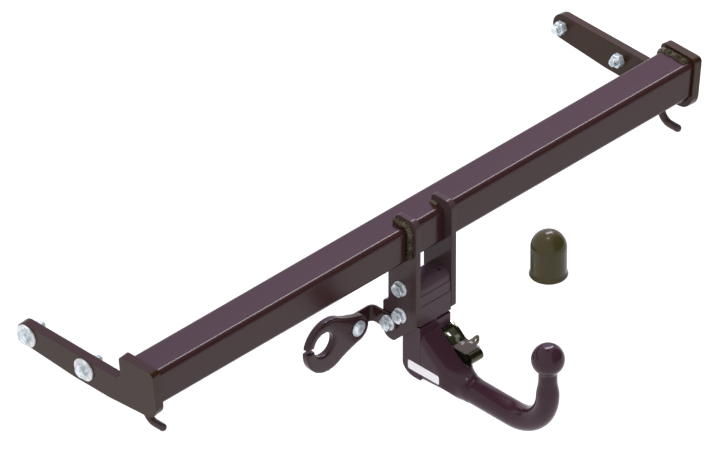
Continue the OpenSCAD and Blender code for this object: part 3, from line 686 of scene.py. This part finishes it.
@dataclass
class Bracket:
    """The two bracket plates and the receiver between them.

    Attributes:
        outer_x: From the centre plane to a plate's outer face.
        inner_x: From the centre plane to a plate's inner face.
        lip_reach: How far back the lips reach over the beam.
        lip_round: Radius of the lips' rear ends.
        lip_turns: Lean of the flats that make up that radius, in degrees.
        bead_past: How far a bead goes past the lip.
        bead_drop: How far a bead goes down the beam's front.
        bead_off: From a plate's outer face to the middle of its bead.
        bead_front: From the beam's front to the middle of a bead.
        bead_lift: From the beam's top to the middle of a bead.
        tack_in: How far the tack lies off the plate's inner face and above the beam's top.
        tack_gap: From the beam's corner to the tack's end.
    """

    beam: BeamFrame
    dresser: Dresser
    outer_x: float = 41.4
    inner_x: float = 31.4
    lip_reach: float = 26.0
    lip_round: float = 8.0
    lip_turns: Triple = (22.5, 45.0, 67.5)
    bead_r: float = 4.6
    bead_past: float = 1.0
    bead_drop: float = 49.0
    bead_off: float = 1.6
    bead_front: float = 5.4
    bead_lift: float = 4.2
    tack_r: float = 3.4
    tack_in: float = 1.0
    tack_gap: float = 4.0
    tack_seed: int = 11

    def build(self) -> None:
        """Dress the plates and the receiver, and lay the welds."""
        for side in ("left", "right"):
            # The plates get the lightened paint, which is painted light over their shade.
            self.dresser.dress(f"bracket_plate_{side}", BRACKET_PAINT_WITH_PAINTED_LIGHT, Softening(1.0, 3),
                               first=self._round_lip)
        # The receiver gets its lightened paint, which is painted light over the shade under the
        # beam.
        self.dresser.dress("receiver_housing", RECEIVER_PAINT_WITH_PAINTED_LIGHT, Softening(0.7))
        beads = [self._bead(side) for side in Side]
        # As with the end beads, one call is enough for the pair.
        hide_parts("bracket_welds")
        self._tack()

    def _round_lip(self, bm: bmesh.types.BMesh) -> None:
        """Round the rear end of the lip that lies on the beam.

        Args:
            bm: The bracket plate.
        """
        high = max(v.co.z for v in bm.verts)
        rear = self.beam.at(0, self.lip_reach, 0).y
        centre = Vector((0, rear - self.lip_round * MM, high - self.lip_round * MM))
        for turn in map(math.radians, self.lip_turns):
            way = Vector((0, math.sin(turn), math.cos(turn)))
            cut = bmesh.ops.bisect_plane(bm, geom=[*bm.verts, *bm.edges, *bm.faces],
                                         dist=ON_CUT, clear_outer=True, plane_no=way,
                                         plane_co=centre + way * self.lip_round * MM)["geom_cut"]
            rim = [g for g in cut if isinstance(g, bmesh.types.BMEdge)]
            bmesh.ops.contextual_create(bm, geom=rim)

    def _bead(self, side: Side) -> bpy.types.Object:
        """Lay the bead along the beam's top, over its corner and down its front.

        Args:
            side: Side of the bracket.

        Returns:
            The bead.
        """
        c, off = self.beam.corner_mm, self.bead_front
        outline = [(self.lip_reach + self.bead_past, self.bead_lift), (c, self.bead_lift),
                   *quarter((c, -c), (0, 1), (-1, 0), c + off), (-off, -self.bead_drop)]
        x = side.value * (self.outer_x + self.bead_off)
        points = [self.beam.at(x, y, z) for y, z in outline]
        return Weld(self.bead_r).along(points, f"bracket_bead_{side.name.lower()}", "frame")

    def _tack(self) -> None:
        """Lay the short bead inside the right plate's lip."""
        ends = (self.lip_reach, self.beam.corner_mm + self.tack_gap)
        points = [self.beam.at(self.inner_x - self.tack_in, y, self.tack_in) for y in ends]
        Weld(self.tack_r, seed=self.tack_seed).along(points, "bracket_tack", "frame")


def shells(bm: bmesh.types.BMesh) -> Iterator[list[bmesh.types.BMFace]]:
    """Part a bmesh into its closed shells, in the same order each run.

    Args:
        bm: The bmesh.

    Yields:
        The faces of a shell.
    """
    left = dict.fromkeys(bm.faces)
    while left:
        front = [left.popitem()[0]]
        shell = list(front)
        while front:
            face = front.pop()
            near = dict.fromkeys(other for edge in face.edges for other in edge.link_faces
                                 if other in left)
            for other in near:
                del left[other]
            front += near
            shell += near
        yield shell


@dataclass
class Fasteners:
    """Bolts, nuts and washers, with rolled threads on the ends that show.

    Attributes:
        plain_tip: Length of a bolt's end that has no thread.
        reach_r: Faces nearer to a bolt's axis than this are cut.
        cap_area: Least area of a bolt's end face, in square millimetres.
        cap_square: Least share of X in such a face's normal.
    """

    dresser: Dresser
    pitch: float = 1.75
    thread_depth: float = 0.65
    thread_len: float = 13.0
    plain_tip: float = 0.9
    reach_r: float = 7.0
    cap_area: float = 60.0
    cap_square: float = 0.95

    def build(self) -> None:
        """Dress every fastener and cut the threads of the chassis bolts."""
        crisp = Softening(0.25, 1, 25.0)
        for node in ("receiver_screws", "strap_bolt", "strap_nut", "pivot_bolt", "pivot_nut",
                     "chassis_nuts"):
            self.dresser.dress(node, ZINC, crisp)
        self.dresser.dress("chassis_bolts", ZINC, crisp, last=self._roll_threads)
        for node in ("receiver_washers", "strap_washer", "chassis_washers"):
            self.dresser.dress(node, WASHER_ZINC, Softening(0.4))

    def _roll_threads(self, bm: bmesh.types.BMesh) -> None:
        """Roll a thread into the inner end of every bolt.

        Args:
            bm: The bolts.
        """
        for bolt in list(shells(bm)):
            caps = [f for f in bolt if abs(f.normal.x) > self.cap_square
                    and f.calc_area() > self.cap_area * MM ** 2]
            tip = min(caps, key=lambda f: abs(f.calc_center_median().x))
            self._roll_thread(bm, tip.calc_center_median(), -tip.normal)

    def _roll_thread(self, bm: bmesh.types.BMesh, tip: Vector, axis: Vector) -> None:
        """Cut rings across a bolt and press every second one in.

        Args:
            bm: The bolts.
            tip: Centre of the bolt's end, in metres.
            axis: Direction from the end to the head.
        """
        def off_axis(point: Vector) -> Vector:
            """Return the shortest way from the axis to a point."""
            return (point - tip) - axis * (point - tip).dot(axis)

        valleys = []
        for k in range(int(2 * self.thread_len / self.pitch)):
            near = [f for f in bm.faces
                    if off_axis(f.calc_center_median()).length < self.reach_r * MM]
            edges = dict.fromkeys(e for f in near for e in f.edges)
            verts = dict.fromkeys(v for e in edges for v in e.verts)
            place = tip + axis * (self.plain_tip + k * self.pitch / 2) * MM
            cut = bmesh.ops.bisect_plane(bm, geom=[*verts, *edges, *near], dist=ON_CUT,
                                         plane_co=place, plane_no=axis)["geom_cut"]
            if k % 2:
                valleys += [g for g in cut if isinstance(g, bmesh.types.BMVert)]
        for vert in valleys:
            vert.co -= off_axis(vert.co).normalized() * self.thread_depth * MM


@dataclass
class Neck:
    """The forged neck with its ball, its lock and the blank label.

    Attributes:
        head_front: From the beam's front to the joint of head and bar.
        root_keep: Length of the bar's root whose points stay in place.
        seam_zone: Points nearer to the joint than this are carried into the head.
        seam_lap: How far they are carried.
        label_at: Y and Z of the label's middle.
        label_from: X from which the label is laid onto the neck.
        label_lift: How far the film stands off the paint.
        label_t: Thickness of the film.
    """

    beam: BeamFrame
    dresser: Dresser
    forging_voxel: float = 1.25
    forging_passes: int = 14
    head_front: float = 14.4
    root_keep: float = 6.0
    seam_zone: float = 1.3
    seam_lap: float = 2.0
    label_size: Pair = (63.0, 15.2)
    label_at: Pair = (-21.0, -248.8)
    label_corner: float = 3.0
    label_grid: tuple[int, int] = (64, 18)
    label_from: float = -60.0
    label_lift: float = 0.25
    label_t: float = 0.2
    label_sharp: float = 60.0

    def build(self) -> None:
        """Dress the neck, the lock and the label."""
        self.dresser.dress("neck_head", NECK_PAINT, Softening(0.5, 2, 40.0))
        front = self.beam.at(0, -self.head_front - self.root_keep, 0).y
        bar = self.dresser.even("ball_bar", NECK_PAINT, self.forging_voxel,
                                self.forging_passes, front)
        self._close_seam(bar)
        for node in ("lock_plunger", "lock_spring", "lock_ball_left", "lock_ball_right"):
            self.dresser.recolour(node, STEEL)
        # The shaft and the lever carry the plating with its painted silver glints.
        self.dresser.dress("lever_shaft", LEVER_PLATING_PAINTED_GLINTS, Softening(0.6))
        self.dresser.dress("lock_lever", LEVER_PLATING_PAINTED_GLINTS, Softening(0.5, 2, 28.0))
        self._label()

    def _close_seam(self, bar: bpy.types.Object) -> None:
        """Carry the bar's end a little way into the head, so that no joint shows.

        Args:
            bar: The bar's evened copy.
        """
        near, far = (self.beam.at(0, -self.head_front + off, 0).y
                     for off in (-self.seam_zone, self.seam_zone))
        for vert in bar.data.vertices:
            if near < vert.co.y < far:
                vert.co.y += self.seam_lap * MM

    def _label(self) -> None:
        """Lay a blank film on the left side of the neck, where it follows the forging."""
        width, height = self.label_size
        centre_y, centre_z = self.label_at
        bm = bmesh.new()
        columns, rows = self.label_grid
        bmesh.ops.create_grid(bm, x_segments=columns, y_segments=rows, size=0.5)
        bmesh.ops.scale(bm, verts=bm.verts, vec=(width * MM, height * MM, 1))
        self._round_corners(bm)
        upright = Matrix(((0, 0, 1, 0), (1, 0, 0, 0), (0, 1, 0, 0), (0, 0, 0, 1)))
        place = Matrix.Translation(self.beam.at(self.label_from, centre_y, centre_z))
        bmesh.ops.transform(bm, verts=bm.verts, matrix=place @ upright)
        trees = [BVHTree.FromBMesh(self.dresser.merged(n)) for n in ("neck_head", "ball_bar")]
        for vert in bm.verts:
            hits = [t.ray_cast(vert.co, Vector((1, 0, 0)))[0] for t in trees]
            vert.co.x = min(h.x for h in hits if h is not None) - self.label_lift * MM
        bmesh.ops.solidify(bm, geom=bm.faces[:], thickness=-self.label_t * MM)
        bmesh.ops.recalc_face_normals(bm, faces=bm.faces)
        finish_piece(bm, "blank_label", "neck", LABEL_FILM, sharp=self.label_sharp)

    def _round_corners(self, bm: bmesh.types.BMesh) -> None:
        """Squeeze each square corner of the flat film into a quarter disc.

        Args:
            bm: The film, with its middle at the origin.
        """
        radius = self.label_corner * MM
        inner = [size * MM / 2 - radius for size in self.label_size]
        for vert in bm.verts:
            past = [max(0.0, abs(c) - i) for c, i in zip(vert.co.xy, inner)]
            if min(past) > 0:
                squeeze = max(past) / math.hypot(*past)
                for axis in (0, 1):
                    vert.co[axis] = math.copysign(inner[axis] + past[axis] * squeeze,
                                                  vert.co[axis])


@dataclass
class SocketHolder:
    """The strap and the socket holder that turns on it."""

    dresser: Dresser
    voxel: float = 1.1
    holder_passes: int = 40
    strap_passes: int = 16

    def build(self) -> None:
        """Dress the strap and the holder."""
        self.dresser.even("socket_strap", PAINT, self.voxel, self.strap_passes)
        self.dresser.even("socket_holder", HOLDER_POLYMER, self.voxel, self.holder_passes,
                          crown=True)


@dataclass
class BallCap:
    """The moulded cap."""

    dresser: Dresser

    def build(self) -> None:
        """Dress the cap."""
        self.dresser.dress("ball_cap", CAP_POLYMER, Softening(0.6, 3, 30.0))


@dataclass(frozen=True)
class Lamp:
    """A soft lamp that faces the beam.

    Attributes:
        place: Where it hangs, in metres.
        size: Its sides, in metres.
        level: Whether its long side lies along the beam.
    """

    name: str
    place: Triple
    size: Pair
    power: float
    tint: Triple
    level: bool = False

    def hang(self) -> None:
        """Put the lamp in the scene."""
        data = bpy.data.lights.new(self.name, "AREA")
        data.shape = "RECTANGLE"
        data.size, data.size_y = self.size
        data.energy = self.power
        data.color = self.tint
        lamp = bpy.data.objects.new(self.name, data)
        bpy.context.scene.collection.objects.link(lamp)
        lamp.location = self.place
        if self.level:
            lamp.rotation_euler = (math.atan2(-self.place[1], self.place[2]), 0, 0)
        else:
            up = Vector((0, 0, 1))
            lamp.rotation_euler = up.rotation_difference(Vector(self.place)).to_euler()


LAMPS = (
    Lamp("overhead", (-0.1, -0.3, 2.6), (0.4, 0.4), 9.0, (1.0, 0.98, 1.0)),
    Lamp("edge_strip", (1.52, 0.80, 1.96), (1.7, 0.5), 46.0, (1.0, 0.93, 1.0), level=True),
    Lamp("rear_panel", (1.8, 1.8, 2.2), (2.4, 1.4), 7.6, (0.46, 0.16, 1.0)),
)


@dataclass
class Studio:
    """Floor, lamps, sky and camera.

    Attributes:
        aim: Point that the camera looks at, from the beam's front top edge.
        floor_lift: Glow of the floor where it is seen.
        air_range: Strength of the soft light, away from the window and towards it.
        window_side: Direction that most of the soft light comes from.
        flag_side: Direction of a dark flag that only glossy surfaces mirror.
        flag_edge: How far towards it the flag starts and is full.
    """

    beam: BeamFrame
    image_px: int = 717
    scale_px_per_m: float = 692.0
    lens_mm: float = 1000.0
    sensor_mm: float = 36.0
    view_m: float = 100.0
    aim: Triple = (-56.7, 86.4, -30.4)
    floor_half: float = 40.0
    floor_z: float = -0.9
    floor_tone: Rgba = (0.66, 0.66, 0.65, 1.0)
    floor_rough: float = 0.9
    floor_lift: float = 0.27
    white: Rgba = (1.0, 1.0, 1.0, 1.0)
    air_tone: Rgba = (0.97, 0.95, 1.0, 1.0)
    air_range: Pair = (0.35, 1.5)
    window_side: Triple = (-0.90, -0.35, 0.25)
    flag_tone: Rgba = (0.04, 0.03, 0.035, 1.0)
    flag_side: Triple = (0.60, -0.74, 0.30)
    flag_edge: Pair = (0.5, 0.8)

    def build(self) -> None:
        """Set the stage."""
        scene = bpy.context.scene
        scene.view_settings.view_transform = "Standard"
        self._camera(scene)
        self._floor()
        self._sky(scene)
        for lamp in LAMPS:
            lamp.hang()

    def _camera(self, scene: bpy.types.Scene) -> None:
        """Stand the camera on the isometric line of sight, far off with a long lens.

        Args:
            scene: Scene that it looks at.
        """
        data = bpy.data.cameras.new("camera")
        data.lens = self.lens_mm
        data.sensor_width = self.sensor_mm
        data.clip_end = self.view_m
        camera = bpy.data.objects.new("camera", data)
        scene.collection.objects.link(camera)
        back = Vector((-1, -1, 1)).normalized()
        distance = self.image_px * self.lens_mm / self.sensor_mm / self.scale_px_per_m
        camera.location = self.beam.at(*self.aim) + back * distance
        camera.rotation_euler = (-back).to_track_quat("-Z", "Y").to_euler()
        scene.camera = camera

    def _floor(self) -> None:
        """Lay a pale floor under the object."""
        bm = bmesh.new()
        bmesh.ops.create_grid(bm, x_segments=1, y_segments=1, size=self.floor_half)
        bmesh.ops.translate(bm, verts=bm.verts, vec=(0, 0, self.floor_z))
        floor = place_mesh(bm, "floor")
        floor.data.materials.append(self._floor_paper())

    def _paper_rays(self, tree: bpy.types.NodeTree) -> bpy.types.NodeSocket:
        """Find the rays that see the backdrop as white paper.

        Args:
            tree: Tree that the nodes go into.

        Returns:
            1 for the camera's rays and for mirrored and refracted ones, and else 0.
        """
        rays = tree.nodes.new("ShaderNodeLightPath").outputs
        found = rays["Is Camera Ray"]
        for kind in ("Is Glossy Ray", "Is Transmission Ray"):
            found = reckon(tree, "MAXIMUM", found, rays[kind])
        return found

    def _floor_paper(self) -> bpy.types.Material:
        """Make pale paper, lifted to white where it is seen, that keeps its shadows.

        Returns:
            The floor's material.
        """
        made, tree, shader = new_material("floor_paper")
        shader.inputs["Base Color"].default_value = self.floor_tone
        shader.inputs["Roughness"].default_value = self.floor_rough
        shader.inputs["Emission Color"].default_value = self.white
        lift = reckon(tree, "MULTIPLY", self._paper_rays(tree), self.floor_lift)
        tree.links.new(lift, shader.inputs["Emission Strength"])
        return made

    def _toward(self, tree: bpy.types.NodeTree, side: Triple) -> bpy.types.NodeSocket:
        """Measure how far a direction of the backdrop leans towards a side.

        Args:
            tree: Tree that the nodes go into.
            side: Direction of the side.

        Returns:
            About 1 straight towards the side, and -1 away from it.
        """
        dot = tree.nodes.new("ShaderNodeVectorMath")
        dot.operation = "DOT_PRODUCT"
        dot.inputs[1].default_value = side
        way = tree.nodes.new("ShaderNodeTexCoord").outputs["Generated"]
        tree.links.new(way, dot.inputs[0])
        return dot.outputs["Value"]

    def _flag(self, tree: bpy.types.NodeTree) -> bpy.types.NodeSocket:
        """Colour the backdrop white, with a dark flag that only gloss shows.

        Args:
            tree: Tree that the nodes go into.

        Returns:
            The backdrop's colour.
        """
        lobe = remap(tree, self._toward(tree, self.flag_side), self.flag_edge,
                     kind="SMOOTHSTEP")
        rays = tree.nodes.new("ShaderNodeLightPath").outputs
        only_gloss = reckon(tree, "MULTIPLY", lobe, rays["Is Glossy Ray"])
        return blend(tree, only_gloss, self.white, self.flag_tone)

    def _sky(self, scene: bpy.types.Scene) -> None:
        """Light the scene softly, with white paper behind it.

        Args:
            scene: Scene that is lit.
        """
        world = bpy.data.worlds.new("studio")
        world.use_nodes = True
        scene.world = world
        tree = world.node_tree
        air = tree.nodes["Background"]
        air.inputs["Color"].default_value = self.air_tone
        window = remap(tree, self._toward(tree, self.window_side), (-1.0, 1.0), self.air_range)
        tree.links.new(window, air.inputs["Strength"])
        paper = tree.nodes.new("ShaderNodeBackground")
        tree.links.new(self._flag(tree), paper.inputs["Color"])
        mix = tree.nodes.new("ShaderNodeMixShader")
        tree.links.new(self._paper_rays(tree), mix.inputs["Fac"])
        tree.links.new(air.outputs["Background"], mix.inputs[1])
        tree.links.new(paper.outputs["Background"], mix.inputs[2])
        tree.links.new(mix.outputs["Shader"], tree.nodes["World Output"].inputs["Surface"])


def main() -> None:
    """Load the frame and build the towbar's looks in order."""
    logging.basicConfig(level=logging.INFO, format="%(name)s: %(message)s")
    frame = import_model()
    beam = BeamFrame.from_model()
    dresser = Dresser(frame)
    Studio(beam).build()
    for group in (CrossBeam(beam, dresser), Bracket(beam, dresser), Fasteners(dresser),
                  Neck(beam, dresser), SocketHolder(dresser), BallCap(dresser)):
        group.build()


if __name__ == "__main__":
    main()
